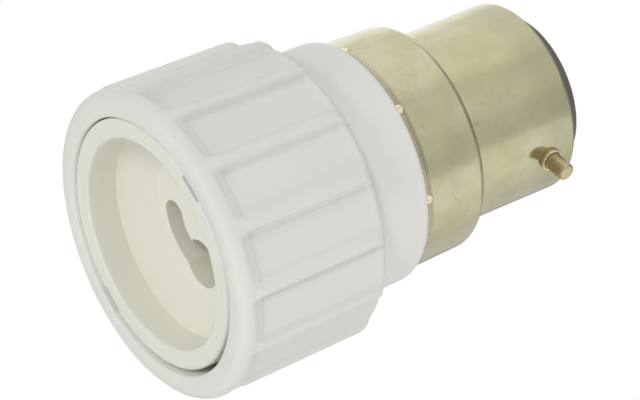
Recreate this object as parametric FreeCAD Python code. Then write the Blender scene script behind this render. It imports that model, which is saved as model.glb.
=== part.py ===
import FreeCAD, Part
import math
import os

os.makedirs("parts", exist_ok=True)

V = FreeCAD.Vector
UP = V(0, 0, 1)

# Lamp socket adapter, standing on its mouth.
# Z runs from the mouth plane, at z = 0, to the bayonet cap's contacts. X runs along the bayonet pins.
# All sizes are in millimetres and all angles in degrees, counted from X about Z.

# clearances, and how far a cutting shape stands out of what it cuts
slip_gap = 0.05
insert_slip = 0.15
seat_gap = 0.25
head_gap = 0.35
insert_gap = 0.4
cut_over = 1.0

# the standard cap's shell, which every other radius follows outwards
shell_radius = 11.0

# grip ring
ring_height = 19.3
ring_wall = 3.3
rim_drop = 0.9
rim_width = 1.65
rim_bevel = 0.35
rim_round = 1.4
crest_taper = 0.4
ridge_start = 0.45
panel_start = 1.35
shoe_round = 1.1
rear_round = 1.4
tooth_count = 15
tooth_depth = 0.85
crest_phase = 8.4
step_share = 0.071
panel_share = 0.745
ramp_share = 0.9
crest_share = 0.95
panel_rise = 0.25
crest_fall = 0.1
wall_ledge = 1.4
ring_play = 0.35
play_side = -5.5

# socket insert
rim_recess = 0.35
insert_wall = 2.3
insert_round = 0.35
flange_height = 4.2
mouth_round = 0.35
wall_depth = 3.6
wall_draft = 0.2
bevel_width = 3.8
bevel_depth = 2.9
pin_circle = 5.0
entry_radius = 2.85
slot_width = 3.3
entry_angle = 80.0
slot_turn = 78.5
face_thickness = 3.4
chamber_depth = 6.0
chamber_core = 1.6
chamber_wall = 4.15
chamber_turn = 154.0
key_angle = 117.5
key_width = 2.4
key_height = 0.6
key_start = 2.4
key_gap = 0.4

# socket screws
screw_edge = 3.75
screw_radius = 1.4
screw_head_radius = 2.6
screw_head_height = 1.8
screw_head_round = 0.6
screw_floor = 2.4
screw_end_gap = 0.5
drive_width = 0.7
drive_length = 3.2
drive_depth = 0.9

# collar
collar_drop = 0.35
collar_taper = 0.4
collar_reach = 8.4
collar_round = 0.9
tube_wall = 0.95
web_thickness = 1.6
back_thickness = 1.5
spigot_wall = 1.3
room_margin = 1.9

# cap
sheet = 0.4
collar_step = 0.7
skirt_taper = 0.3
skirt_height = 8.3
shoulder_width = 2.05
bead_height = 0.15
bead_width = 0.8
shoulder_round = 0.9
neck_fillet = 0.5
shell_height = 14.1
lip_width = 1.9
lip_round = 0.45
stake_count = 8
stake_first = -61.0
stake_rise = 0.3
stake_dent = 0.45

# bayonet pins
pin_from_end = 3.5
bayonet_reach = 3.0
bayonet_radius = 1.03
bayonet_tip = 0.35
bayonet_flange = 1.35
flange_height_out = 0.3
flange_round = 0.2
bayonet_shank = 0.8
bayonet_head = 0.7

# insulator and contacts
insulator_rise = 1.9
insulator_bevel = 0.35
insulator_depth = 4.7
core_gap = 1.0
plate_recess = 0.4
groove_width = 0.8
groove_length = 12.0
contact_offset = 4.6
contact_radius = 2.3
contact_thickness = 0.8
contact_round = 0.3
eyelet_radius = 1.2
eyelet_bore = 0.6
eyelet_flare = 0.5
eyelet_tail = 0.5
solder_radius = 1.35
solder_height = 0.5

# clips, springs and leads
clip_sheet = 0.5
clip_width = 3.6
clip_half = 4.3
clip_radius = 3.9
leaf_drop = 2.9
leaf_slope = 0.35
leaf_start = 0.2
spring_sheet = 0.3
spring_inset = 0.4
tail_radius = 6.65
tail_width = 2.0
tail_rise = 0.6
barrel_radius = 1.15
barrel_length = 3.2
wire_core = 0.45
wire_radius = 0.9
wire_bend = 4.0
wire_lead = 3.0
wire_gap = 0.3

skirt_rear_radius = shell_radius + shoulder_width
skirt_front_radius = skirt_rear_radius + skirt_taper
collar_rear_radius = skirt_front_radius + collar_step
collar_front_radius = collar_rear_radius + collar_taper
bore_radius = collar_front_radius + collar_drop
insert_radius = bore_radius - insert_gap
mouth_radius = insert_radius - insert_wall
crest_front_radius = bore_radius + ring_wall
crest_rear_radius = crest_front_radius - crest_taper
rim_radius = crest_front_radius - rim_drop
collar_end = ring_height + collar_reach
shoulder_z = collar_end + skirt_height
shell_end = shoulder_z + shell_height
floor_z = rim_recess + wall_depth + bevel_depth
face_back = floor_z + face_thickness
insert_end = face_back + chamber_depth
flange_end = rim_recess + flange_height
ledge_end = flange_end + wall_ledge
back_end = insert_end + back_thickness
web_end = back_end + web_thickness
tube_inner = collar_front_radius - tube_wall
body_radius = tube_inner - insert_slip
bevel_radius = mouth_radius - wall_draft - bevel_width
screw_circle = body_radius - screw_edge
chamber_radius = body_radius - chamber_wall
room_radius = screw_circle + screw_head_radius + head_gap
room_end = collar_end - room_margin
spigot_end = shoulder_z - sheet - seat_gap
stake_z = collar_end + stake_rise
bayonet_z = shell_end - pin_from_end
shell_inner = shell_radius - sheet
lip_radius = shell_radius - lip_width
insulator_end = shell_end + insulator_rise
insulator_start = shell_end - insulator_depth
plate_z = insulator_end - plate_recess
eyelet_start = insulator_start - eyelet_tail
tail_top = web_end + tail_rise
clip_base = insert_end - clip_sheet
corner = 1 - math.sqrt(0.5)


def polar(radius, angle, z=0.0):
    a = math.radians(angle)
    return V(radius * math.cos(a), radius * math.sin(a), z)


def revolve(steps):
    """Solid turned about Z from (r, z) corners. A corner with r_mid and z_mid too is reached by an arc."""
    edges = []
    here = V(steps[0][0], 0, steps[0][1])
    for step in steps[1:] + [steps[0][:2]]:
        there = V(step[0], 0, step[1])
        if len(step) == 4:
            edges.append(Part.Arc(here, V(step[2], 0, step[3]), there).toShape())
        elif (there - here).Length > 1e-6:
            edges.append(Part.LineSegment(here, there).toShape())
        here = there
    face = Part.Face(Part.Wire(edges))
    return face.revolve(V(0, 0, 0), UP, 360)


def disc(radius, z0, z1):
    return Part.makeCylinder(radius, z1 - z0, V(0, 0, z0))


def post(radius, z0, z1, circle, angle):
    """Upright cylinder centred on a point of the given circle."""
    return Part.makeCylinder(radius, z1 - z0, polar(circle, angle, z0))


def sector(radius, z0, z1, middle, turn):
    piece = Part.makeCylinder(radius, z1 - z0, V(0, 0, z0), UP, turn)
    piece.rotate(V(0, 0, 0), UP, middle - turn / 2)
    return piece


def turned(shape, angle):
    copy = shape.copy()
    copy.rotate(V(0, 0, 0), UP, angle)
    return copy


def box_at(length, width, z0, z1, radius, angle):
    """Box centred on a point of the given circle, its length along the radius."""
    piece = Part.makeBox(length, width, z1 - z0, V(radius - length / 2, -width / 2, z0))
    return turned(piece, angle)


def save(name, shape):
    if shape.ShapeType == "Compound" and len(shape.Solids) == 1:
        shape = shape.Solids[0]
    shape.exportStep("parts/" + name + ".step")


def tooth_outline(z, crest):
    """Closed outline of all grip teeth at one height: hollow panel, ramp, rounded crest, steep step."""
    pitch = 360.0 / tooth_count
    foot = crest - tooth_depth
    middle = (step_share + panel_share) / 2
    edges = []
    for i in range(tooth_count):
        a = crest_phase + i * pitch
        start = polar(foot, a + step_share * pitch, z)
        hollow = polar(foot + panel_rise / 6, a + middle * pitch, z)
        panel = polar(foot + panel_rise, a + panel_share * pitch, z)
        ramp = polar(crest - crest_fall, a + ramp_share * pitch, z)
        top = polar(crest, a + crest_share * pitch, z)
        edge = polar(crest - crest_fall, a + pitch, z)
        after = polar(foot, a + (1 + step_share) * pitch, z)
        edges.append(Part.Arc(start, hollow, panel).toShape())
        edges.append(Part.LineSegment(panel, ramp).toShape())
        edges.append(Part.Arc(ramp, top, edge).toShape())
        edges.append(Part.LineSegment(edge, after).toShape())
    return Part.Wire(edges)


def shoe(start):
    """Envelope of the teeth, rounded at the front, from the given height, and at the rear."""
    wide = crest_front_radius + slip_gap
    s = shoe_round * corner
    r = rear_round * corner
    return revolve([(0, start), (wide - shoe_round, start),
                    (wide, start + shoe_round, wide - s, start + s),
                    (wide, ring_height - rear_round),
                    (wide - rear_round, ring_height, wide - r, ring_height - r),
                    (0, ring_height)])


def ridge_sectors():
    """The angles that the ridges take up, over the rim."""
    pitch = 360.0 / tooth_count
    middle = (panel_share + 1 + step_share) / 2
    turn = (1 + step_share - panel_share) * pitch
    return Part.makeCompound([sector(crest_front_radius + cut_over, 0, rim_width + rim_bevel,
                                     crest_phase + (i + middle) * pitch, turn) for i in range(tooth_count)])


def grip_ring():
    """Ribbed ring round the socket, loose on it: it leans to one side by its play."""
    front = tooth_outline(0, crest_front_radius)
    rear = tooth_outline(ring_height, crest_rear_radius)
    teeth = Part.makeLoft([front, rear], True, True)
    ridges = teeth.common(ridge_sectors()).common(shoe(ridge_start))
    k = rim_round * corner
    panel_front = crest_front_radius - tooth_depth - insert_slip
    rim = revolve([(0, 0), (rim_radius - rim_round, 0), (rim_radius, rim_round, rim_radius - k, k),
                   (rim_radius, rim_width), (panel_front, rim_width + rim_bevel), (0, rim_width + rim_bevel)])
    body = teeth.common(shoe(panel_start)).fuse(rim).fuse(ridges)
    hollow = disc(bore_radius, -cut_over, flange_end)
    hollow = hollow.fuse(disc(body_radius + insert_gap, 0, ring_height))
    hollow = hollow.fuse(disc(collar_front_radius + insert_gap, ledge_end, ring_height + cut_over))
    body = body.cut(hollow)
    for side in (0, 180):
        key = box_at(key_height * 2, key_width, key_start, flange_end, bore_radius, key_angle + side)
        body = body.fuse(key)
    body = body.removeSplitter()
    body.translate(polar(ring_play, play_side))
    return body


def keyhole(z0, z1, side):
    """Round entry for a pin's head, and the arc slot its neck turns into."""
    entry = post(entry_radius, z0, z1, pin_circle, entry_angle + side)
    end = post(slot_width / 2, z0, z1, pin_circle, entry_angle + side + slot_turn)
    arc = sector(pin_circle + slot_width / 2, z0, z1, chamber_middle(side), slot_turn)
    arc = arc.cut(disc(pin_circle - slot_width / 2, z0 - cut_over, z1 + cut_over))
    return entry.fuse(end).fuse(arc)


def chamber_middle(side):
    return entry_angle + side + slot_turn / 2


def screw_angle(side):
    return chamber_middle(side) + 90


def tail_slot(z0, z1, side):
    length = clip_sheet + 2 * seat_gap
    return box_at(length, tail_width + 2 * seat_gap, z0, z1, tail_radius, chamber_middle(side))


def screw_hole(radius, z0, z1, side):
    return post(radius, z0, z1, screw_circle, screw_angle(side))


def socket_front():
    wall_end = rim_recess + wall_depth
    crown = mouth_radius + mouth_round
    k = mouth_round * corner
    e = insert_round * corner
    body = revolve([(0, floor_z), (bevel_radius, floor_z), (mouth_radius - wall_draft, wall_end),
                    (mouth_radius, rim_recess + mouth_round),
                    (crown, rim_recess, mouth_radius + k, rim_recess + k),
                    (insert_radius - insert_round, rim_recess),
                    (insert_radius, rim_recess + insert_round, insert_radius - e, rim_recess + e),
                    (insert_radius, flange_end), (body_radius, flange_end), (body_radius, insert_end),
                    (0, insert_end)])
    notch_inner = bore_radius - key_height - key_gap
    for side in (0, 180):
        body = body.cut(keyhole(floor_z - cut_over, face_back + cut_over, side))
        room = sector(chamber_radius, face_back, insert_end + cut_over, chamber_middle(side), chamber_turn)
        body = body.cut(room.cut(disc(chamber_core, face_back - cut_over, insert_end + 2 * cut_over)))
        notch = box_at(2 * cut_over, key_width + 2 * key_gap, -cut_over, flange_end + cut_over,
                       notch_inner + cut_over, key_angle + side)
        body = body.cut(notch)
        hole_start = floor_z + screw_floor - screw_end_gap
        body = body.cut(screw_hole(screw_radius + slip_gap, hole_start, insert_end + cut_over, side))
    return body


def socket_back():
    body = disc(body_radius, insert_end, back_end)
    for side in (0, 180):
        body = body.cut(tail_slot(insert_end - cut_over, back_end + cut_over, side))
        body = body.cut(screw_hole(screw_radius + seat_gap, insert_end - cut_over, back_end + cut_over, side))
    return body


def stake_ball(radius, i):
    """Ball at one of the punch marks that stake the cap to the collar, its poles along the radius."""
    angle = stake_first + i * 360.0 / stake_count
    return Part.makeSphere(radius, polar(skirt_radius(stake_z), angle, stake_z), polar(1, angle))


def collar_radius(z):
    """The collar's outer wall tapers from the ring's ledge to its rear edge."""
    share = (z - ledge_end) / (collar_end - ledge_end)
    return collar_front_radius + share * (collar_rear_radius - collar_front_radius)


def skirt_radius(z):
    share = (z - collar_end) / (shoulder_z - collar_end)
    return skirt_front_radius + share * (skirt_rear_radius - skirt_front_radius)


def body_collar():
    k = collar_round * corner
    top = collar_rear_radius
    spigot_front = skirt_radius(collar_end) - sheet - slip_gap
    lead_in_z = spigot_end - shoulder_round
    spigot_rear = skirt_radius(lead_in_z) - sheet - slip_gap
    inner = spigot_rear - spigot_wall
    cone_end = room_end + room_radius - inner
    body = revolve([(0, back_end), (tube_inner, back_end), (tube_inner, ledge_end),
                    (collar_front_radius, ledge_end),
                    (collar_radius(collar_end - collar_round), collar_end - collar_round),
                    (top - collar_round, collar_end, top - k, collar_end - k),
                    (spigot_front, collar_end), (spigot_rear, lead_in_z),
                    (spigot_rear - shoulder_round, spigot_end), (inner, spigot_end),
                    (inner, cone_end), (room_radius, room_end), (room_radius, web_end), (0, web_end)])
    for side in (0, 180):
        body = body.cut(tail_slot(back_end - cut_over, web_end + cut_over, side))
        body = body.cut(screw_hole(screw_radius + seat_gap, back_end - cut_over, web_end + cut_over, side))
    for i in range(stake_count):
        body = body.cut(stake_ball(stake_dent + sheet + slip_gap, i))
    return body


def cap_shell():
    front = skirt_radius(collar_end)
    rear = skirt_radius(shoulder_z - shoulder_round)
    bend = shoulder_round - sheet
    curl = lip_round - sheet
    k = shoulder_round * corner
    b = bend * corner
    f = neck_fillet * corner
    m = lip_round * corner
    c = curl * corner
    body = revolve([
        (front - sheet, collar_end), (front + bead_height / 2, collar_end),
        (front + bead_height / 3, collar_end + bead_width / 2,
         front + bead_height, collar_end + bead_width / 4),
        (skirt_radius(collar_end + bead_width), collar_end + bead_width),
        (rear, shoulder_z - shoulder_round),
        (rear - shoulder_round, shoulder_z, rear - k, shoulder_z - k),
        (shell_radius + neck_fillet, shoulder_z),
        (shell_radius, shoulder_z + neck_fillet, shell_radius + f, shoulder_z + f),
        (shell_radius, shell_end - lip_round),
        (shell_radius - lip_round, shell_end, shell_radius - m, shell_end - m),
        (lip_radius, shell_end), (lip_radius, shell_end - sheet), (shell_inner - curl, shell_end - sheet),
        (shell_inner, shell_end - lip_round, shell_inner - c, shell_end - sheet - c),
        (shell_inner, shoulder_z - sheet), (rear - shoulder_round, shoulder_z - sheet),
        (rear - sheet, shoulder_z - shoulder_round, rear - sheet - b, shoulder_z - sheet - b),
    ])
    inside = disc(front - sheet / 2, collar_end, shoulder_z)
    for i in range(stake_count):
        body = body.fuse(stake_ball(stake_dent + sheet, i).common(inside))
    for i in range(stake_count):
        body = body.cut(stake_ball(stake_dent, i))
    for side in (0, 180):
        hole = cross_pin(bayonet_shank + slip_gap, lip_radius, shell_radius + cut_over)
        body = body.cut(turned(hole, side))
    return body


def cross_pin(radius, r0, r1):
    return Part.makeCylinder(radius, r1 - r0, V(r0, 0, bayonet_z), V(1, 0, 0))


def bayonet_pin(side):
    """Riveted pin: head inside the shell, shank through it, flange and rounded barrel outside."""
    low = bayonet_z - 2 * bayonet_flange
    high = bayonet_z + 2 * bayonet_flange
    tip_r = shell_radius + bayonet_reach
    head = cross_pin(bayonet_flange, shell_inner - bayonet_head, shell_radius)
    head = head.common(disc(shell_inner, low, high))
    flange_r = shell_radius + flange_height_out
    flange = cross_pin(bayonet_flange, shell_inner, flange_r).cut(disc(shell_radius, low, high))
    flange_edge = [e for e in flange.Edges if e.CenterOfMass.x > flange_r - slip_gap]
    flange = flange.makeFillet(flange_round, flange_edge)
    shank = cross_pin(bayonet_shank, shell_inner - bayonet_head / 2, flange_r)
    barrel = cross_pin(bayonet_radius, shell_radius + flange_height_out / 2, tip_r)
    tip_edge = [e for e in barrel.Edges if e.CenterOfMass.x > tip_r - slip_gap]
    barrel = barrel.makeFillet(bayonet_tip, tip_edge)
    return turned(head.fuse(shank).fuse(flange).fuse(barrel).removeSplitter(), side)


def end_insulator():
    core = shell_inner - bayonet_head - core_gap
    wide = shell_inner - slip_gap
    neck = lip_radius - 2 * slip_gap
    seat = shell_end - sheet - slip_gap
    flange_z = bayonet_z + bayonet_flange + head_gap
    crown = insulator_end - insulator_bevel
    k = insulator_bevel * corner
    body = revolve([(0, insulator_start), (core, insulator_start), (core, flange_z), (wide, flange_z),
                    (wide, shell_end - lip_round - slip_gap), (neck, seat), (neck, crown),
                    (neck - insulator_bevel, insulator_end, neck - k, insulator_end - k),
                    (0, insulator_end)])
    for side in (90, 270):
        top = insulator_end + cut_over
        body = body.cut(post(contact_radius + 2 * slip_gap, plate_z, top, contact_offset, side))
        body = body.cut(post(eyelet_radius + slip_gap, eyelet_start, top, contact_offset, side))
    groove = box_at(groove_length, groove_width, plate_z, insulator_end + cut_over, 0, 0)
    return body.cut(groove)


def end_contact(side):
    """Eyelet contact: a plate on the insulator's face and a tube through it, flared inside."""
    top = plate_z + contact_thickness
    plate = post(contact_radius, plate_z, top, contact_offset, side)
    rim = [e for e in plate.Edges if e.CenterOfMass.z > top - slip_gap]
    plate = plate.makeFillet(contact_round, rim)
    shank = post(eyelet_radius, eyelet_start, plate_z, contact_offset, side)
    foot = polar(contact_offset, side, eyelet_start)
    flare = Part.makeCone(eyelet_radius + eyelet_flare, eyelet_radius, eyelet_tail - slip_gap, foot)
    bore = post(eyelet_bore, eyelet_start - cut_over, top + cut_over, contact_offset, side)
    return plate.fuse(shank).fuse(flare).cut(bore)


def solder_dot(side):
    """Dome of solder on the plate, with the stub that fills the eyelet's mouth."""
    z0 = plate_z + contact_thickness
    ball = (solder_radius * solder_radius + solder_height * solder_height) / (2 * solder_height)
    dome = Part.makeSphere(ball, polar(contact_offset, side, z0 + solder_height - ball))
    dome = dome.common(post(contact_radius, z0, z0 + 2 * solder_height, contact_offset, side))
    stub = post(eyelet_bore - slip_gap, z0 - contact_thickness, z0, contact_offset, side)
    return dome.fuse(stub)


def prism(points, width):
    """Plate outline in the tangent and height plane, given width along the radius, on the clips' circle."""
    wire = Part.makePolygon([V(clip_radius - width / 2, t, z) for t, z in points + points[:1]])
    return Part.Face(wire).extrude(V(width, 0, 0))


def contact_clip(side):
    """Base on the back plate, bent leaf under the slot's end, tail through the plates, crimp barrel."""
    leaf_z = clip_base - leaf_drop
    low = leaf_z - leaf_slope
    inside = clip_half - clip_sheet
    strip = prism([(-clip_half, insert_end), (clip_half, insert_end), (clip_half, leaf_z), (leaf_start, low),
                   (leaf_start, low + clip_sheet), (inside, leaf_z + clip_sheet), (inside, clip_base),
                   (-clip_half, clip_base)], clip_width)
    arm = Part.makeBox(tail_radius + clip_sheet / 2 - clip_radius, tail_width, clip_sheet,
                       V(clip_radius, -tail_width / 2, clip_base))
    tail = Part.makeBox(clip_sheet, tail_width, tail_top - clip_base,
                        V(tail_radius - clip_sheet / 2, -tail_width / 2, clip_base))
    barrel_top = tail_top + barrel_length
    barrel = post(barrel_radius, tail_top, barrel_top, tail_radius, 0)
    bore = post(wire_core + slip_gap, tail_top + wire_gap, barrel_top + cut_over, tail_radius, 0)
    clip = strip.fuse(arm).fuse(tail).fuse(barrel).cut(bore).removeSplitter()
    return turned(clip, chamber_middle(side))


def pin_spring(side):
    """Steel leaf from the clip's base up to the underside of its bent leaf."""
    top = clip_base - slip_gap
    under = clip_base - leaf_drop + clip_sheet + slip_gap
    start = spring_inset - clip_half
    foot = leaf_start + spring_sheet
    knee = clip_half - clip_sheet - 3 * spring_inset
    tip = clip_half - clip_sheet - spring_inset
    leaf = prism([(start, top), (start, top - spring_sheet), (foot, top - 2 * spring_sheet), (knee, under),
                  (tip, under), (tip, under + spring_sheet), (knee + slip_gap, under + spring_sheet),
                  (foot + slip_gap, top - spring_sheet / 2), (-spring_sheet, top)],
                 clip_width - 2 * spring_inset)
    return turned(leaf, chamber_middle(side))


def socket_screw(side):
    head_top = web_end + screw_head_height
    head = screw_hole(screw_head_radius, web_end, head_top, side)
    rim = [e for e in head.Edges if e.CenterOfMass.z > head_top - slip_gap]
    head = head.makeFillet(screw_head_round, rim)
    shank = screw_hole(screw_radius, floor_z + screw_floor, web_end, side)
    z0 = head_top - drive_depth
    slot = box_at(drive_length, drive_width, z0, head_top + cut_over, screw_circle, screw_angle(side))
    cross = box_at(drive_width, drive_length, z0, head_top + cut_over, screw_circle, screw_angle(side))
    return head.fuse(shank).cut(slot).cut(cross)


def arc_middle(knee, way_in, way_out):
    """Middle point of the arc of wire_bend radius that rounds the corner at knee."""
    half = way_in.getAngle(way_out) / 2
    inward = (way_out - way_in).normalize()
    return knee + inward * (wire_bend / math.cos(half) - wire_bend)


def lead_wire(side, end_side):
    """Insulated lead from the crimp barrel to the eyelet, bare at both ends, with one slanted run."""
    start = polar(tail_radius, chamber_middle(side), tail_top + barrel_length + wire_gap)
    finish = polar(contact_offset, end_side, eyelet_start - 2 * wire_gap)
    low = start + UP * wire_lead
    high = finish - UP * wire_lead
    way = (high - low).normalize()
    bend = UP.getAngle(way)
    reach = wire_bend * math.tan(bend / 2)
    run_start = low + way * reach
    run_end = high - way * reach
    low_middle = arc_middle(low, UP, way)
    high_middle = arc_middle(high, way, UP)
    edges = [Part.LineSegment(start, low - UP * reach).toShape(),
             Part.Arc(low - UP * reach, low_middle, run_start).toShape(),
             Part.LineSegment(run_start, run_end).toShape(),
             Part.Arc(run_end, high_middle, high + UP * reach).toShape(),
             Part.LineSegment(high + UP * reach, finish).toShape()]
    ring = Part.Wire(Part.Circle(start, UP, wire_radius).toShape())
    cover = Part.Wire(edges).makePipeShell([ring], True, False)
    bare_low = Part.makeCylinder(wire_core, barrel_length - wire_gap, start - UP * (barrel_length - wire_gap))
    bare_high = Part.makeCylinder(wire_core, plate_z - wire_gap - finish.z, finish)
    return cover.fuse(bare_low).fuse(bare_high)


save("grip_ring", grip_ring())
save("socket_front", socket_front())
save("socket_back", socket_back())
save("body_collar", body_collar())
save("cap_shell", cap_shell())
save("end_insulator", end_insulator())
for letter, side, end_side in (("a", 0, 90), ("b", 180, 270)):
    save("contact_clip_" + letter, contact_clip(side))
    save("pin_spring_" + letter, pin_spring(side))
    save("socket_screw_" + letter, socket_screw(side))
    save("bayonet_pin_" + letter, bayonet_pin(side))
    save("end_contact_" + letter, end_contact(end_side))
    save("solder_dot_" + letter, solder_dot(end_side))
    save("lead_wire_" + letter, lead_wire(side, end_side))
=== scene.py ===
import math

import bpy
from mathutils import Matrix, Vector


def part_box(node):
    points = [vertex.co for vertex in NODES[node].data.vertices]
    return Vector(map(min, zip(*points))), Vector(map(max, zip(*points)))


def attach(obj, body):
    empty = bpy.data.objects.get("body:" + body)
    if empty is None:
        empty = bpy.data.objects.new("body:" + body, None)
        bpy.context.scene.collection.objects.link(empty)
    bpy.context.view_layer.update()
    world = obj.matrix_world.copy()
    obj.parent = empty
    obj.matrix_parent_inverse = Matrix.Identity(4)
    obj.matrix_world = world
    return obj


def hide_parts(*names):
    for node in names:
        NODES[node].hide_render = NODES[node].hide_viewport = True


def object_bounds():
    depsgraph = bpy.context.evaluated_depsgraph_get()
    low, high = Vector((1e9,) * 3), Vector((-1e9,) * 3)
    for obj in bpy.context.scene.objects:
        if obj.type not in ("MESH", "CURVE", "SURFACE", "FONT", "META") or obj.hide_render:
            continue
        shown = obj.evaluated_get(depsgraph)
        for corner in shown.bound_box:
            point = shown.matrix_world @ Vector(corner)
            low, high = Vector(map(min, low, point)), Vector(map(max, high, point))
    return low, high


bl_info = {
    "name": "Lamp Socket Adapter",
    "version": (1, 0, 0),
    "blender": (4, 5, 0),
    "location": "View3D > Sidebar > Adapter",
    "description": "Finishes and details of a lamp socket adapter around its packed solids",
    "category": "Object",
}

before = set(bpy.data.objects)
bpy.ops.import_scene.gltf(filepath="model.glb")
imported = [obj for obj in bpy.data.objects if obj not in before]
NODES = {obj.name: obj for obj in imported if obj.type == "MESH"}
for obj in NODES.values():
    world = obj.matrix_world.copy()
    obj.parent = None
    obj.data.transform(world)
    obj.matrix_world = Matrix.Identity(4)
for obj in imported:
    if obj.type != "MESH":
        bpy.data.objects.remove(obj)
CAD_BOX = [list(corner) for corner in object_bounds()]

# the camera, as the photograph was taken: its place in metres, and its right, up and back directions
CAMERA_PLACE = Vector((0.296694, -0.313174, -0.21805))
CAMERA_RIGHT = Vector((0.586161, -0.066075, 0.807495))
CAMERA_UP = Vector((-0.547257, -0.767226, 0.334476))
CAMERA_BACK = Vector((0.597431, -0.637965, -0.485878))
CAMERA_LENS = 253.125
CAMERA_SENSOR = 36.0
CAMERA_REACH = (0.01, 20.0)

# the lamps of the light tent, all at one distance from the object's middle and facing it:
# how far right, up and back of the object each stands as the camera sees it, its size and its share of the power
LAMP_DISTANCE = 0.8
OBJECT_MIDDLE = Vector((0, 0, 0.026))
LAMPS = (
    ("lamp_key", -0.19, 0.23, 0.96, 0.12, 0.63),
    ("lamp_key_left", -0.6, 0.2, 0.77, 0.15, 0.42),
    ("lamp_key_high", -0.45, 0.6, 0.66, 0.15, 0.07),
    ("lamp_left_back", -0.8, 0, 0.6, 0.8, 0.36),
    ("lamp_left", -1, 0, 0.1, 0.8, 0.44),
    ("lamp_low", 0, -0.8, 0.6, 0.8, 0.17),
    ("lamp_low_left", -0.7, -0.7, 0.3, 0.8, 0.58),
    ("lamp_below", 0, -1, 0.1, 0.8, 0.6),
    ("lamp_above", 0, 1, 0.1, 0.8, 0.21),
    ("lamp_high", -0.2, 0.85, 0.5, 0.3, 0.1),
    ("lamp_low_right", 0.7, -0.7, 0.3, 0.8, 1.25),
    ("lamp_high_right", 0.7, 0.7, 0.3, 0.8, 0.85),
)
# the tent's walls round the standing object as polished metal shows them: heading in degrees and brightness
WALLS = (
    (-180, 0.98), (-104, 1.0), (-89, 0.9), (-81, 0.81), (-63, 0.83), (-47, 0.82), (-31, 0.72), (-5, 0.69),
    (1.5, 0.91), (19, 0.99), (33, 0.98), (44, 0.91), (56, 0.84), (69, 0.78), (84, 0.72), (105, 0.66),
    (121, 0.47), (139, 0.66), (157, 1.13), (180, 0.98),
)
# the tent's open roof: how dark it shows in the metal, and between which upward parts of a ray it sets in
ROOF_LEVEL = 0.45
ROOF_START_AND_FULL = (0.65, 0.9)
# the floor sheet
FLOOR_WHITE = (0.9, 0.9, 0.9, 1)
FLOOR_ROUGHNESS = 0.9

# how many noise cells each kind of mark has to a metre
TONE_SCALE = 60.0
SHADING_PATCH_SCALE = 500.0
PLASTIC_SPECK_SCALE = 1300.0
PLASTIC_GLOSS_SCALE = 240.0
SINK_SCALE = 260.0
GRAIN_SCALE = 2200.0
HUE_SCALE = 170.0
BLOTCH_SCALE = 330.0
BRASS_SPECK_SCALE = 900.0
BRASS_GLOSS_SCALE = 420.0
DENT_SCALE = 110.0
ROLLED_SCALE = 2600.0
SCRATCH_SCALE = 1500.0
# how far rolled lines stretch round the cap, and their height and the scratches' in metres
ROLLED_STRETCH = (0.08, 0.08, 1.0)
LINE_HEIGHT = 0.000003
# between these heights the cap grows darker towards its end, where hands and holders touch it
HANDLED_HEIGHTS = (0.0435, 0.0475)
# how far from a corner of the metal the painted shade reaches
CORNER_REACH = 0.0009
# the two casts between which the brass's hue wanders, as factors of red, green and blue
PINK_CAST = (1.03, 0.985, 1.05)
GREEN_CAST = (0.955, 0.965, 0.9)

# the moulded ring: its centre, which the insert's play sets off, its bores and the ledge inside, in metres
RING_CENTRE = (0.000348, -0.000034)
RING_BORE = 0.0148
RING_REAR_BORE = 0.01485
LEDGE_RADIUS = 0.01375
LEDGE_HEIGHTS = (0.00455, 0.00595)
# roundings where the rim and the rear meet the bores, and the steps that round the outer edges
BORE_ROUND = 0.00015
BORE_CHAMFER = 0.0001
CORNER_STEPS = 8
# the outside behind the rim's rounding: heights where it widens to the ridges, and heights along the ridges
RIM_HEIGHTS = (0.0015, 0.0017, 0.0019, 0.0021, 0.0023)
RIM_SLOPE = 0.05
RIDGE_HEIGHTS = (0.0025, 0.0027, 0.0029, 0.0032, 0.005, 0.009, 0.013, 0.0165)
# points round the ring to each ridge
STATIONS = 40
# shares of the pitch after a ridge's edge: end of the step, end of the hollow's floor, start of the next crest
STEP_SHARE = 0.115
PANEL_SHARE = 0.77
CREST_SHARE = 0.92
# the notch in which a step runs out into the rim: its width and fade as shares, its depth as one, its length
NOTCH_SHARE = 0.08
NOTCH_FADE = 0.12
NOTCH_DEPTH = 0.62
NOTCH_RUN = 0.0022
# softness where a hollow meets the outside, and the width inside the rim's rounding that hollows leave alone
EDGE_SOFT = 0.0001
RIM_MARGIN = 0.0001

# the stake marks: number, first angle in degrees, circle of their centres, and height over the cap's edge
STAKE_COUNT = 8
STAKE_FIRST = -61.0
STAKE_CIRCLE = 0.01343
STAKE_RISE = 0.0001
# insets of a mark from its edge inwards, as shares of its radius and of its depth
STAKE_INSETS = ((0.3, 0.15), (0.15, 0.1), (0.15, -0.2), (0.2, -0.15))
# the burrs' circle round a pin and their distance from the cap's axis, and the height of the solder beads
BURR_CIRCLE = 0.00122
BURR_PLACE = 0.01132
SOLDER_RISE = 0.0005


def tone(red, green, blue):
    """A colour written as 0 to 255 screen values, as linear numbers."""
    channels = []
    for value in (red, green, blue):
        share = value / 255
        channels.append(share / 12.92 if share <= 0.04045 else ((share + 0.055) / 1.055) ** 2.4)
    return tuple(channels)


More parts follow.
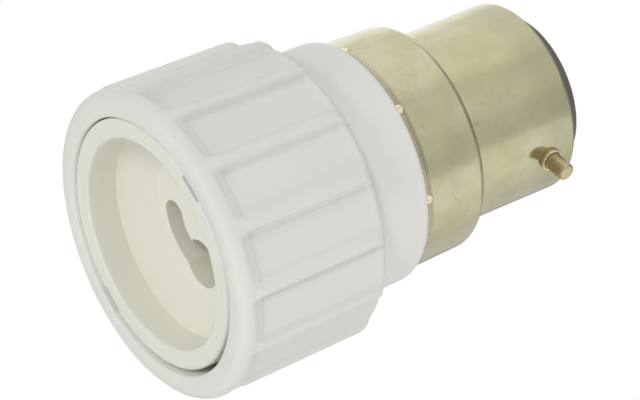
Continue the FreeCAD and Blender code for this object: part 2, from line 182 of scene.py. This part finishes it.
class AdapterPlastic(bpy.types.PropertyGroup):
    """Colours and grain of the plastic parts"""
    shell: bpy.props.FloatVectorProperty(
        name="Grip ring", description="Colour of the moulded ring",
        default=tone(226, 226, 220), subtype="COLOR", min=0, max=1)
    # painted light: the collar is the ring's plastic made lighter, standing for light that the ring's rear edge keeps
    # off it
    collar: bpy.props.FloatVectorProperty(
        name="Collar", description="Colour of the collar between ring and cap",
        default=tone(231, 232, 226), subtype="COLOR", min=0, max=1)
    socket: bpy.props.FloatVectorProperty(
        name="Socket insert", description="Colour of the off-white insert in the mouth",
        default=tone(228, 227, 216), subtype="COLOR", min=0, max=1)
    # painted light: a lighter, yellower copy of the insert's colour, laid deep in the recess and keyholes for light
    # bounced about inside them
    painted_recess_light: bpy.props.FloatVectorProperty(
        name="Painted recess light", description="Colour of the insert deep in its recess and keyholes",
        default=tone(242, 240, 212), subtype="COLOR", min=0, max=1)
    grain: bpy.props.FloatProperty(
        name="Mould grain", description="Height of the fine grain left by the mould",
        default=0.00001, min=0, max=0.001, unit="LENGTH", precision=6)


class AdapterMetal(bpy.types.PropertyGroup):
    """Colours of the metal parts and the insulator"""
    cap: bpy.props.FloatVectorProperty(
        name="Cap", description="Colour of the drawn cap", default=tone(202, 198, 163), subtype="COLOR", min=0, max=1)
    pins: bpy.props.FloatVectorProperty(
        name="Pins", description="Colour of the bayonet pins", default=tone(224, 208, 162), subtype="COLOR",
        min=0, max=1)
    dark: bpy.props.FloatVectorProperty(
        name="Insulator", description="Colour of the end insulator", default=tone(96, 94, 92), subtype="COLOR",
        min=0, max=1)


class AdapterRing(bpy.types.PropertyGroup):
    """Sizes of the moulded grip ring"""
    teeth: bpy.props.IntProperty(name="Ridges", description="Number of grip ridges", default=15, min=3)
    edge_angle: bpy.props.FloatProperty(
        name="Edge angle", description="Angle of the first ridge's edge, in degrees", default=8.1)
    height: bpy.props.FloatProperty(
        name="Height", description="Height of the ring", default=0.0193, min=0.001, unit="LENGTH", precision=5)
    rim_radius: bpy.props.FloatProperty(
        name="Rim radius", description="Radius of the smooth rim", default=0.01771, min=0.001,
        unit="LENGTH", precision=5)
    rim_round: bpy.props.FloatProperty(
        name="Rim rounding", description="Rounding of the rim", default=0.0013, min=0.0001,
        unit="LENGTH", precision=5)
    crest_radius: bpy.props.FloatProperty(
        name="Crest radius", description="Radius over the ridges at the front", default=0.01795, min=0.001,
        unit="LENGTH", precision=5)
    rear_radius: bpy.props.FloatProperty(
        name="Rear radius", description="Radius over the ridges at the rear", default=0.01755, min=0.001,
        unit="LENGTH", precision=5)
    rear_round: bpy.props.FloatProperty(
        name="Rear rounding", description="Rounding of the ring's rear edge", default=0.0014, min=0.0001,
        unit="LENGTH", precision=5)
    hollow: bpy.props.FloatProperty(
        name="Hollow", description="Depth of the hollows between the ridges", default=0.00105, min=0.0001,
        unit="LENGTH", precision=5)
    hollow_rise: bpy.props.FloatProperty(
        name="Hollow rise", description="How much a hollow rises towards the next ridge", default=0.00035,
        unit="LENGTH", precision=5)
    notch_start: bpy.props.FloatProperty(
        name="Notch start", description="Height at which the notch beside a ridge starts", default=0.0003,
        unit="LENGTH", precision=5)
    panel_start: bpy.props.FloatProperty(
        name="Hollow start", description="Height at which the hollows start", default=0.0006,
        unit="LENGTH", precision=5)
    front_wall: bpy.props.FloatProperty(
        name="Front wall", description="Length of the slope at the front of a hollow", default=0.0026, min=0.0001,
        unit="LENGTH", precision=5)


class AdapterDetails(bpy.types.PropertyGroup):
    """Sizes of the small marks on the metal"""
    stake_radius: bpy.props.FloatProperty(
        name="Stake mark", description="Radius of the punch marks that hold the cap to the collar",
        default=0.00056, min=0.0001, unit="LENGTH", precision=5)
    stake_depth: bpy.props.FloatProperty(
        name="Stake depth", description="Depth of a punch mark", default=0.00022, min=0, unit="LENGTH", precision=5)
    burr: bpy.props.FloatProperty(
        name="Rivet burr", description="Thickness of the burr at the foot of each bayonet pin",
        default=0.00016, min=0.00005, unit="LENGTH", precision=5)
    solder_lump: bpy.props.FloatProperty(
        name="Solder lumps", description="Height of the uneven places in the solder", default=0.00016, min=0,
        unit="LENGTH", precision=5)


class AdapterStage(bpy.types.PropertyGroup):
    """Levels of the lamps and the surroundings"""
    key_power: bpy.props.FloatProperty(
        name="Lamp power", description="Power that each lamp has its share of", default=2.0, min=0, unit="POWER")
    fill_level: bpy.props.FloatProperty(
        name="Fill level", description="Brightness of the surroundings as light", default=0.3, min=0, max=2)
    floor_size: bpy.props.FloatProperty(
        name="Floor size", description="Side of the floor sheet", default=6.0, min=0.1, unit="LENGTH")


def node_tree(name):
    """A new node material with its surface shader and object coordinates."""
    material = bpy.data.materials.new(name)
    material.use_nodes = True
    tree = material.node_tree
    shader = tree.nodes["Principled BSDF"]
    place = tree.nodes.new("ShaderNodeTexCoord").outputs["Object"]
    return material, tree, shader, place


def noise(tree, place, scale, detail=3.0, roughness=0.5):
    """Clouds of noise, with so many cells to a metre."""
    texture = tree.nodes.new("ShaderNodeTexNoise")
    texture.inputs["Scale"].default_value = scale
    texture.inputs["Detail"].default_value = detail
    texture.inputs["Roughness"].default_value = roughness
    tree.links.new(place, texture.inputs["Vector"])
    return texture.outputs["Fac"]


def spread(tree, value, low, high, start=0.3, end=0.7):
    """Maps a noise value onto a range."""
    ramp = tree.nodes.new("ShaderNodeMapRange")
    ramp.inputs["From Min"].default_value = start
    ramp.inputs["From Max"].default_value = end
    ramp.inputs["To Min"].default_value = low
    ramp.inputs["To Max"].default_value = high
    tree.links.new(value, ramp.inputs["Value"])
    return ramp.outputs["Result"]


def blend_colours(tree, factor, first, second):
    """Mixes two colours, each a tuple or another node's colour."""
    mix = tree.nodes.new("ShaderNodeMix")
    mix.data_type = "RGBA"
    for name, colour in (("A", first), ("B", second)):
        if isinstance(colour, tuple):
            mix.inputs[name].default_value = (*colour, 1)
        else:
            tree.links.new(colour, mix.inputs[name])
    tree.links.new(factor, mix.inputs["Factor"])
    return mix.outputs["Result"]


def times(tree, first, second):
    """The product of two node values."""
    node = tree.nodes.new("ShaderNodeMath")
    node.operation = "MULTIPLY"
    tree.links.new(first, node.inputs[0])
    tree.links.new(second, node.inputs[1])
    return node.outputs[0]


def crevices(tree, reach, amount):
    """How deep in a corner or a gap a point lies, from 0 in the open to the given amount."""
    node = tree.nodes.new("ShaderNodeAmbientOcclusion")
    node.samples = 8
    node.only_local = True
    node.inputs["Distance"].default_value = reach
    return spread(tree, node.outputs["AO"], amount, 0, 0.35, 0.9)


def bump(tree, shader, height, distance, strength=1.0, below=None):
    """Relief on the shader, over an earlier one where that is given."""
    node = tree.nodes.new("ShaderNodeBump")
    node.inputs["Strength"].default_value = strength
    node.inputs["Distance"].default_value = distance
    tree.links.new(height, node.inputs["Height"])
    if below is not None:
        tree.links.new(below, node.inputs["Normal"])
    tree.links.new(node.outputs["Normal"], shader.inputs["Normal"])
    return node.outputs["Normal"]


def shade(colour, factor):
    """A linear colour made lighter or darker."""
    return tuple(min(1.0, channel * factor) for channel in colour)


def plastic(name, colour, roughness, grain, speck_and_shading_colour=None, shading_share=0.6, reach=0.0012):
    """Moulded plastic: slow change of tone, faint specks, uneven gloss, mould grain, and painted shading in corners
    and gaps, where the colour runs towards a second colour: painted shade where that colour is darker, painted bounce
    light where it is lighter, in patches like dirt.
    """
    material, tree, shader, place = node_tree(name)
    speck_and_shading_colour = speck_and_shading_colour or shade(colour, 0.6)
    slow = spread(tree, noise(tree, place, TONE_SCALE, 2.0), 0, 1)
    clean = blend_colours(tree, slow, shade(colour, 0.975), shade(colour, 1.015))
    patches = spread(tree, noise(tree, place, SHADING_PATCH_SCALE, 3.0), 0.45, 1, 0.35, 0.6)
    # painted shading: corners and gaps take the second colour by how closed in they are, broken into patches
    shading_mask = times(tree, crevices(tree, reach, shading_share), patches)
    specks = spread(tree, noise(tree, place, PLASTIC_SPECK_SCALE, 2.0), 0, 0.3, 0.75, 0.8)
    shaded_colour = blend_colours(tree, shading_mask, clean, speck_and_shading_colour)
    tree.links.new(blend_colours(tree, specks, shaded_colour, speck_and_shading_colour), shader.inputs["Base Color"])
    gloss = noise(tree, place, PLASTIC_GLOSS_SCALE, 4.0)
    tree.links.new(spread(tree, gloss, roughness - 0.05, roughness + 0.06), shader.inputs["Roughness"])
    sinks = bump(tree, shader, noise(tree, place, SINK_SCALE, 2.0), grain * 1.5, 0.5)
    bump(tree, shader, noise(tree, place, GRAIN_SCALE, 2.0), grain, 0.6, sinks)
    return material


def brass(name, colour, roughness, tarnish, wave=0.00006, corners=0.5):
    """Drawn sheet: blotches, specks and a tarnished end, painted shade in the corners, uneven gloss, dents and rolled
    lines.
    """
    material, tree, shader, place = node_tree(name)
    shader.inputs["Metallic"].default_value = 1.0
    pinkish, greenish = (tuple(min(1, channel * factor) for channel, factor in zip(colour, cast))
                         for cast in (PINK_CAST, GREEN_CAST))
    clouds = spread(tree, noise(tree, place, HUE_SCALE, 3.0, 0.6), 0, 1, 0.4, 0.6)
    bright = blend_colours(tree, clouds, pinkish, greenish)
    blotch = spread(tree, noise(tree, place, BLOTCH_SCALE, 5.0, 0.6), 0, 0.8, 0.42, 0.66)
    worn = blend_colours(tree, blotch, bright, tarnish)
    specks = spread(tree, noise(tree, place, BRASS_SPECK_SCALE, 3.0), 0, 0.5, 0.68, 0.74)
    spotted = blend_colours(tree, specks, worn, shade(tarnish, 0.7))
    height = tree.nodes.new("ShaderNodeSeparateXYZ")
    tree.links.new(place, height.inputs["Vector"])
    end = spread(tree, height.outputs["Z"], 0, 0.5, *HANDLED_HEIGHTS)
    handled = blend_colours(tree, end, spotted, shade(tarnish, 0.82))
    # painted shade: corners darken towards a deep tarnish colour by how closed in they are
    corner = crevices(tree, CORNER_REACH, corners)
    tree.links.new(blend_colours(tree, corner, handled, shade(tarnish, 0.35)), shader.inputs["Base Color"])
    gloss = noise(tree, place, BRASS_GLOSS_SCALE, 3.0)
    tree.links.new(spread(tree, gloss, roughness - 0.04, roughness + 0.06), shader.inputs["Roughness"])
    dents = bump(tree, shader, noise(tree, place, DENT_SCALE, 2.0), wave, 1.0)
    rolled = tree.nodes.new("ShaderNodeMapping")
    rolled.inputs["Scale"].default_value = ROLLED_STRETCH
    tree.links.new(place, rolled.inputs["Vector"])
    lines = bump(tree, shader, noise(tree, rolled.outputs["Vector"], ROLLED_SCALE, 2.0), LINE_HEIGHT, 0.5, dents)
    bump(tree, shader, noise(tree, place, SCRATCH_SCALE, 3.0), LINE_HEIGHT, 0.5, lines)
    return material


def dress(names, material):
    """Gives CAD nodes their material."""
    for name in names:
        node = NODES[name]
        node.data.materials.clear()
        node.data.materials.append(material)


class ADAPTER_OT_plastic_parts(bpy.types.Operator):
    """Gives the ring, the collar and the socket insert their moulded plastics"""
    bl_idname = "adapter.plastic_parts"
    bl_label = "Plastic Parts"

    def execute(self, context):
        values = context.scene.adapter_plastic
        shell = tuple(values.shell)
        # the ring's darkened corner colour at full share is painted shade, dark in the steps at the ridges' feet
        dress(("grip_ring",), plastic("shell_plastic", shell, 0.42, values.grain, shade(shell, 0.4), 1.0))
        # the collar's lighter colour is painted light
        dress(("body_collar",), plastic("collar_plastic", tuple(values.collar), 0.4, values.grain))
        # the insert's corners take a lighter, yellower colour: painted bounce light in the recess and keyholes
        dress(("socket_front", "socket_back"), plastic("socket_plastic", tuple(values.socket), 0.5, values.grain,
                                                   tuple(values.painted_recess_light), 0.9, 0.006))
        return {"FINISHED"}


class ADAPTER_OT_moulded_ring(bpy.types.Operator):
    """Replaces the grip ring with one whose ridges grow softly out of a smooth rim"""
    bl_idname = "adapter.moulded_ring"
    bl_label = "Moulded Ring"

    def execute(self, context):
        moulded_ring(context.scene.adapter_ring, bpy.data.materials["shell_plastic"])
        return {"FINISHED"}


class ADAPTER_OT_metal_parts(bpy.types.Operator):
    """Gives the cap, the pins, the contacts and the inner metal parts their finishes"""
    bl_idname = "adapter.metal_parts"
    bl_label = "Metal Parts"

    def execute(self, context):
        values = context.scene.adapter_metal
        cap = tuple(values.cap)
        pins = tuple(values.pins)
        dress(("cap_shell",), brass("cap_brass", shade(cap, 1.01), 0.15, shade(cap, 0.87), 0.00014))
        dress(("bayonet_pin_a", "bayonet_pin_b"), brass("pin_brass", pins, 0.3, shade(pins, 0.8), corners=0.25))
        dress(("end_contact_a", "end_contact_b"), brass("contact_brass", pins, 0.3, shade(pins, 0.85)))
        dress(("contact_clip_a", "contact_clip_b"), brass("clip_brass", pins, 0.34, shade(pins, 0.85)))
        steel = tone(170, 170, 172)
        dress(("pin_spring_a", "pin_spring_b"), brass("spring_steel", steel, 0.3, shade(steel, 0.85)))
        dress(("socket_screw_a", "socket_screw_b"), brass("screw_steel", steel, 0.35, shade(steel, 0.85)))
        tin = tone(200, 202, 206)
        dress(("solder_dot_a", "solder_dot_b"), brass("solder", tin, 0.25, shade(tin, 0.85)))
        dress(("end_insulator",), plastic("dark_insulator", tuple(values.dark), 0.32, 0.00001))
        dress(("lead_wire_a", "lead_wire_b"), plastic("lead_cover", tone(224, 222, 214), 0.5, 0.00001))
        return {"FINISHED"}


def begin(name):
    """Names the primitive that was just added."""
    piece = bpy.context.object
    piece.name = name
    piece.data.name = name
    return piece


def pick(piece, test):
    """Goes into edit mode with only the faces that pass the test selected."""
    for vertex in piece.data.vertices:
        vertex.select = False
    for edge in piece.data.edges:
        edge.select = False
    for face in piece.data.polygons:
        face.select = test(face)
    bpy.ops.object.mode_set(mode="EDIT")
    bpy.ops.mesh.select_mode(type="FACE")


def add_modifier(piece, kind, **settings):
    """Adds a modifier to the active piece and applies it."""
    modifier = piece.modifiers.new(kind.lower(), kind)
    for name, value in settings.items():
        setattr(modifier, name, value)
    bpy.ops.object.modifier_apply(modifier=modifier.name)


def finish(piece, material, angle=40):
    """Smooths a piece, lays it out in the frame's own axes and lets it ride."""
    bpy.ops.object.transform_apply(location=True, rotation=True, scale=True)
    bpy.ops.object.shade_smooth_by_angle(angle=math.radians(angle))
    piece.data.materials.clear()
    piece.data.materials.append(material)
    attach(piece, "root")


def lumps(name, size):
    """A cloud texture for displacement, with lumps of the given size."""
    texture = bpy.data.textures.new(name, "CLOUDS")
    texture.noise_scale = size
    return texture


def stake_mark(number, values, rim, stake_glint):
    """A punch mark over the cap's front edge: a flat tab with a dished centre in bright brass, a painted highlight.
    """
    angle = math.radians(STAKE_FIRST + number * 360 / STAKE_COUNT)
    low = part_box("cap_shell")[0]
    place = Vector((math.cos(angle), math.sin(angle), 0)) * STAKE_CIRCLE + Vector((0, 0, low[2] + STAKE_RISE))
    bpy.ops.object.select_all(action="DESELECT")
    bpy.ops.mesh.primitive_cylinder_add(
        vertices=24, radius=values.stake_radius, depth=values.stake_depth, location=place,
        rotation=(0, math.pi / 2, angle))
    piece = begin(f"stake_mark_{number + 1}")
    pick(piece, lambda face: face.normal.z > 0.9)
    for inwards, outwards in STAKE_INSETS:
        bpy.ops.mesh.inset(thickness=values.stake_radius * inwards, depth=values.stake_depth * outwards)
    bpy.ops.object.mode_set(mode="OBJECT")
    add_modifier(piece, "SUBSURF", levels=2)
    finish(piece, rim, 60)
    piece.data.materials.append(stake_glint)
    for face in piece.data.polygons:
        if (face.center - place).length < values.stake_radius:
            face.material_index = 1


def smooth(value):
    """A soft step from 0 to 1."""
    value = min(1.0, max(0.0, value))
    return value * value * (3 - 2 * value)


def ring_rows(values):
    """Radius and height of each loop of the ring's blank: rim, outside, rear, bore and inner ledge."""
    rim, rear, top = values.rim_radius, values.rear_radius, values.height
    rows = [(RING_BORE, BORE_ROUND), (RING_BORE + BORE_ROUND / 3, BORE_ROUND / 3), (RING_BORE + BORE_ROUND, 0)]
    for step in range(CORNER_STEPS + 1):
        turn = math.radians(step * 90 / CORNER_STEPS)
        rows.append((rim - values.rim_round * (1 - math.sin(turn)), values.rim_round * (1 - math.cos(turn))))
    for height in RIM_HEIGHTS:
        rows.append((rim + (height - values.rim_round) * RIM_SLOPE, height))
    for height in RIDGE_HEIGHTS:
        rows.append((values.crest_radius + (rear - values.crest_radius) * height / top, height))
    for step in range(CORNER_STEPS + 1):
        turn = math.radians(step * 90 / CORNER_STEPS)
        rows.append((rear - values.rear_round * (1 - math.cos(turn)), top - values.rear_round * (1 - math.sin(turn))))
    rows += [(RING_REAR_BORE + BORE_CHAMFER, top), (RING_REAR_BORE, top - BORE_CHAMFER),
             (RING_REAR_BORE, LEDGE_HEIGHTS[1]), (LEDGE_RADIUS, LEDGE_HEIGHTS[1]),
             (LEDGE_RADIUS, LEDGE_HEIGHTS[0]), (RING_BORE, LEDGE_HEIGHTS[0])]
    return rows


def hollow_depth(share, height, values):
    """Depth of a grip hollow at a share of the pitch after a ridge's edge, from its notched front backwards."""
    if share < STEP_SHARE:
        depth = values.hollow * smooth(share / STEP_SHARE)
    elif share < PANEL_SHARE:
        depth = values.hollow - values.hollow_rise * (share - STEP_SHARE) / (PANEL_SHARE - STEP_SHARE)
    else:
        rise = smooth((share - PANEL_SHARE) / (CREST_SHARE - PANEL_SHARE))
        depth = (values.hollow - values.hollow_rise) * (1 - rise)
    beside = 1 - smooth((share - NOTCH_SHARE) / NOTCH_FADE)
    notch = NOTCH_DEPTH * beside * smooth((height - values.notch_start) / NOTCH_RUN)
    return depth * max(notch, smooth((height - values.panel_start) / values.front_wall))


def moulded_ring(values, material):
    """The grip ring with its moulded softness: a smooth rim, and ridges that grow out of it."""
    rows = ring_rows(values)
    count = values.teeth * STATIONS
    centre = (*RING_CENTRE, 0)
    bpy.ops.object.select_all(action="DESELECT")
    bpy.ops.mesh.primitive_circle_add(vertices=count, radius=rows[0][0], location=(*RING_CENTRE, rows[0][1]))
    piece = begin("moulded_ring")
    bpy.ops.object.transform_apply(location=True, rotation=True, scale=True)
    bpy.ops.object.mode_set(mode="EDIT")
    bpy.ops.mesh.select_mode(type="EDGE")
    bpy.ops.mesh.select_all(action="SELECT")
    for (radius, height), (wider, higher) in zip(rows, rows[1:]):
        bpy.ops.mesh.extrude_region_move(TRANSFORM_OT_translate={"value": (0, 0, higher - height)})
        factor = wider / radius
        bpy.ops.transform.resize(value=(factor, factor, 1), center_override=centre)
    bpy.ops.mesh.select_all(action="DESELECT")
    bpy.ops.mesh.select_non_manifold(extend=False)
    bpy.ops.mesh.bridge_edge_loops()
    bpy.ops.mesh.select_all(action="SELECT")
    bpy.ops.mesh.normals_make_consistent(inside=False)
    bpy.ops.object.mode_set(mode="OBJECT")

    group = piece.vertex_groups.new(name="hollows")
    for vertex in piece.data.vertices:
        x, y, z = vertex.co
        away = Vector((x - RING_CENTRE[0], y - RING_CENTRE[1]))
        if away.length < values.rim_radius - values.rim_round - RIM_MARGIN:
            continue
        share = (math.degrees(math.atan2(away.y, away.x)) - values.edge_angle) * values.teeth / 360 % 1
        crest = values.crest_radius + (values.rear_radius - values.crest_radius) * z / values.height
        over = hollow_depth(share, z, values) - (crest - away.length)
        if over > -EDGE_SOFT:
            depth = over if over > EDGE_SOFT else (over + EDGE_SOFT) ** 2 / (4 * EDGE_SOFT)
            group.add([vertex.index], depth / values.hollow, "REPLACE")
    add_modifier(piece, "DISPLACE", vertex_group="hollows", mid_level=0, strength=-values.hollow)
    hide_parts("grip_ring")
    finish(piece, material, 50)


def pin_burr(letter, side, values, material):
    """The rolled burr round a bayonet pin's foot, uneven from the riveting press."""
    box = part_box("bayonet_pin_a")
    middle = (box[0][2] + box[1][2]) / 2
    bpy.ops.object.select_all(action="DESELECT")
    bpy.ops.mesh.primitive_torus_add(
        major_segments=56, minor_segments=10, major_radius=BURR_CIRCLE, minor_radius=values.burr,
        location=(side * BURR_PLACE, 0, middle), rotation=(0, math.pi / 2, 0))
    piece = begin(f"pin_burr_{letter}")
    bpy.ops.object.transform_apply(location=True, rotation=True, scale=True)
    texture = lumps(f"burr_lumps_{letter}", values.burr * 2.5)
    add_modifier(piece, "DISPLACE", texture=texture, strength=values.burr * 1.2, mid_level=0.5)
    add_modifier(piece, "SUBSURF", levels=1)
    finish(piece, material, 60)


def solder_bead(letter, values, material):
    """A frozen bead of solder with an uneven top, in place of the plain dome."""
    node = f"solder_dot_{letter}"
    low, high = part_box(node)
    radius = (high[0] - low[0]) / 2
    centre = ((low[0] + high[0]) / 2, (low[1] + high[1]) / 2, high[2] - SOLDER_RISE)
    bpy.ops.object.select_all(action="DESELECT")
    bpy.ops.mesh.primitive_uv_sphere_add(
        segments=48, ring_count=24, radius=radius, location=centre, scale=(1, 1, SOLDER_RISE / radius))
    piece = begin(f"solder_bead_{letter}")
    bpy.ops.object.transform_apply(location=True, rotation=True, scale=True)
    bpy.ops.object.mode_set(mode="EDIT")
    bpy.ops.mesh.select_all(action="SELECT")
    bpy.ops.mesh.bisect(plane_co=centre, plane_no=(0, 0, 1), use_fill=True, clear_inner=True)
    bpy.ops.object.mode_set(mode="OBJECT")
    texture = lumps(f"solder_lumps_{letter}", radius * 0.8)
    add_modifier(piece, "DISPLACE", texture=texture, strength=values.solder_lump, mid_level=0.7, direction="Z")
    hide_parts(node)
    finish(piece, material, 60)


def area_lamp(name, direction, size, power):
    """A large soft lamp that faces the object."""
    data = bpy.data.lights.new(name, "AREA")
    data.shape = "DISK"
    data.size = size
    data.energy = power
    lamp = bpy.data.objects.new(name, data)
    bpy.context.scene.collection.objects.link(lamp)
    way = direction.normalized()
    lamp.location = OBJECT_MIDDLE + way * LAMP_DISTANCE
    lamp.rotation_mode = "QUATERNION"
    lamp.rotation_quaternion = way.to_track_quat("Z", "Y")
    lamp.visible_glossy = False


def seen_ray(tree):
    """1 for camera, glossy and transmission rays, 0 for light that falls on the object."""
    path = tree.nodes.new("ShaderNodeLightPath")
    total = path.outputs["Is Camera Ray"]
    for kind in ("Is Glossy Ray", "Is Transmission Ray"):
        most = tree.nodes.new("ShaderNodeMath")
        most.operation = "MAXIMUM"
        tree.links.new(total, most.inputs[0])
        tree.links.new(path.outputs[kind], most.inputs[1])
        total = most.outputs[0]
    return total


def tent_walls(tree):
    """Brightness of the tent's walls by heading round the object."""
    way = tree.nodes.new("ShaderNodeTexCoord").outputs["Generated"]
    parts = tree.nodes.new("ShaderNodeSeparateXYZ")
    tree.links.new(way, parts.inputs["Vector"])
    heading = tree.nodes.new("ShaderNodeMath")
    heading.operation = "ARCTAN2"
    tree.links.new(parts.outputs["Y"], heading.inputs[0])
    tree.links.new(parts.outputs["X"], heading.inputs[1])
    turn = tree.nodes.new("ShaderNodeMapRange")
    turn.inputs["From Min"].default_value = -math.pi
    turn.inputs["From Max"].default_value = math.pi
    tree.links.new(heading.outputs[0], turn.inputs["Value"])
    ramp = tree.nodes.new("ShaderNodeFloatCurve")
    curve = ramp.mapping.curves[0]
    ramp.mapping.use_clip = False
    for index, (angle, brightness) in enumerate(WALLS):
        place = (angle + 180) / 360
        if index == 0:
            curve.points[0].location = (place, brightness)
        elif index == len(WALLS) - 1:
            curve.points[-1].location = (place, brightness)
        else:
            curve.points.new(place, brightness)
    ramp.mapping.update()
    tree.links.new(turn.outputs["Result"], ramp.inputs["Value"])
    roof = spread(tree, parts.outputs["Z"], 1, ROOF_LEVEL, *ROOF_START_AND_FULL)
    return times(tree, ramp.outputs["Value"], roof)


class ADAPTER_OT_stake_marks(bpy.types.Operator):
    """Adds the punch marks that stake the cap to the collar"""
    bl_idname = "adapter.stake_marks"
    bl_label = "Stake Marks"

    def execute(self, context):
        # the bright brass of the dished centres is a painted highlight
        bright = tone(252, 244, 206)
        stake_glint = brass("stake_glint_brass", bright, 0.35, shade(bright, 0.95), corners=0.2)
        for number in range(STAKE_COUNT):
            stake_mark(number, context.scene.adapter_details, bpy.data.materials["cap_brass"], stake_glint)
        return {"FINISHED"}


class ADAPTER_OT_pin_burrs(bpy.types.Operator):
    """Adds the burrs round the feet of the bayonet pins"""
    bl_idname = "adapter.pin_burrs"
    bl_label = "Pin Burrs"

    def execute(self, context):
        # painted highlight: the burrs' pale brass stands for the glints on their beads
        burr_highlight_tone = tone(252, 240, 204)
        material = brass("burr_brass", burr_highlight_tone, 0.42, shade(burr_highlight_tone, 0.9), corners=0.2)
        for letter, side in (("a", 1), ("b", -1)):
            pin_burr(letter, side, context.scene.adapter_details, material)
        return {"FINISHED"}


class ADAPTER_OT_solder_beads(bpy.types.Operator):
    """Replaces the plain solder domes with frozen beads"""
    bl_idname = "adapter.solder_beads"
    bl_label = "Solder Beads"

    def execute(self, context):
        for letter in ("a", "b"):
            solder_bead(letter, context.scene.adapter_details, bpy.data.materials["solder"])
        return {"FINISHED"}


class ADAPTER_OT_stage(bpy.types.Operator):
    """Sets up the camera, the lamps, the white surroundings and the floor"""
    bl_idname = "adapter.stage"
    bl_label = "Stage"

    def execute(self, context):
        values = context.scene.adapter_stage
        scene = context.scene
        scene.view_settings.view_transform = "Standard"

        data = bpy.data.cameras.new("camera")
        data.sensor_width = CAMERA_SENSOR
        data.lens = CAMERA_LENS
        data.clip_start, data.clip_end = CAMERA_REACH
        camera = bpy.data.objects.new("camera", data)
        scene.collection.objects.link(camera)
        turn = Matrix((CAMERA_RIGHT, CAMERA_UP, CAMERA_BACK)).transposed().to_4x4()
        camera.matrix_world = Matrix.Translation(CAMERA_PLACE) @ turn
        scene.camera = camera

        for name, right, up, back, size, share in LAMPS:
            way = right * CAMERA_RIGHT + up * CAMERA_UP + back * CAMERA_BACK
            area_lamp(name, way, size, values.key_power * share)

        world = bpy.data.worlds.new("surroundings")
        scene.world = world
        world.use_nodes = True
        tree = world.node_tree
        background = tree.nodes["Background"]
        background.inputs["Color"].default_value = (1, 1, 1, 1)
        level = tree.nodes.new("ShaderNodeMapRange")
        level.inputs["To Min"].default_value = values.fill_level
        level.inputs["To Max"].default_value = 1.0
        tree.links.new(seen_ray(tree), level.inputs["Value"])
        walls = tree.nodes.new("ShaderNodeMix")
        walls.inputs["A"].default_value = 1.0
        tree.links.new(tent_walls(tree), walls.inputs["B"])
        tree.links.new(tree.nodes["Light Path"].outputs["Is Glossy Ray"], walls.inputs["Factor"])
        strength = tree.nodes.new("ShaderNodeMath")
        strength.operation = "MULTIPLY"
        tree.links.new(level.outputs["Result"], strength.inputs[0])
        tree.links.new(walls.outputs["Result"], strength.inputs[1])
        tree.links.new(strength.outputs[0], background.inputs["Strength"])

        bpy.ops.object.select_all(action="DESELECT")
        bpy.ops.mesh.primitive_plane_add(size=values.floor_size, location=(0, 0, CAD_BOX[0][2]))
        floor = context.object
        floor.name = "floor"
        bpy.ops.object.transform_apply(location=True, rotation=True, scale=True)
        material = bpy.data.materials.new("floor_white")
        material.use_nodes = True
        tree = material.node_tree
        shader = tree.nodes["Principled BSDF"]
        shader.inputs["Base Color"].default_value = FLOOR_WHITE
        shader.inputs["Roughness"].default_value = FLOOR_ROUGHNESS
        clear = tree.nodes.new("ShaderNodeBsdfTransparent")
        behind = tree.nodes.new("ShaderNodeNewGeometry").outputs["Backfacing"]
        front = tree.nodes.new("ShaderNodeMath")
        front.operation = "SUBTRACT"
        front.use_clamp = True
        tree.links.new(seen_ray(tree), front.inputs[0])
        tree.links.new(behind, front.inputs[1])
        mix = tree.nodes.new("ShaderNodeMixShader")
        tree.links.new(front.outputs[0], mix.inputs[0])
        tree.links.new(clear.outputs[0], mix.inputs[1])
        tree.links.new(shader.outputs[0], mix.inputs[2])
        tree.links.new(mix.outputs[0], tree.nodes["Material Output"].inputs["Surface"])
        floor.data.materials.append(material)
        return {"FINISHED"}


class ADAPTER_PT_panel(bpy.types.Panel):
    """Sizes, colours and steps of the lamp socket adapter"""
    bl_idname = "ADAPTER_PT_panel"
    bl_label = "Lamp Socket Adapter"
    bl_space_type = "VIEW_3D"
    bl_region_type = "UI"
    bl_category = "Adapter"

    def draw(self, context):
        layout = self.layout
        for group in GROUPS:
            settings = getattr(context.scene, group)
            for name in settings.__annotations__:
                layout.prop(settings, name)
        for step in STEPS:
            layout.operator(step.bl_idname)


GROUPS = {"adapter_plastic": AdapterPlastic, "adapter_metal": AdapterMetal, "adapter_ring": AdapterRing,
          "adapter_details": AdapterDetails, "adapter_stage": AdapterStage}
STEPS = (ADAPTER_OT_plastic_parts, ADAPTER_OT_metal_parts, ADAPTER_OT_moulded_ring, ADAPTER_OT_stake_marks,
         ADAPTER_OT_pin_burrs, ADAPTER_OT_solder_beads, ADAPTER_OT_stage)


def register():
    for name, group in GROUPS.items():
        bpy.utils.register_class(group)
        setattr(bpy.types.Scene, name, bpy.props.PointerProperty(type=group))
    for item in (*STEPS, ADAPTER_PT_panel):
        bpy.utils.register_class(item)


def unregister():
    for item in (ADAPTER_PT_panel, *reversed(STEPS)):
        bpy.utils.unregister_class(item)
    for name, group in GROUPS.items():
        delattr(bpy.types.Scene, name)
        bpy.utils.unregister_class(group)


def main():
    register()
    bpy.ops.adapter.plastic_parts()
    bpy.ops.adapter.metal_parts()
    bpy.ops.adapter.moulded_ring()
    bpy.ops.adapter.stake_marks()
    bpy.ops.adapter.pin_burrs()
    bpy.ops.adapter.solder_beads()
    bpy.ops.adapter.stage()


if __name__ == "__main__":
    main()
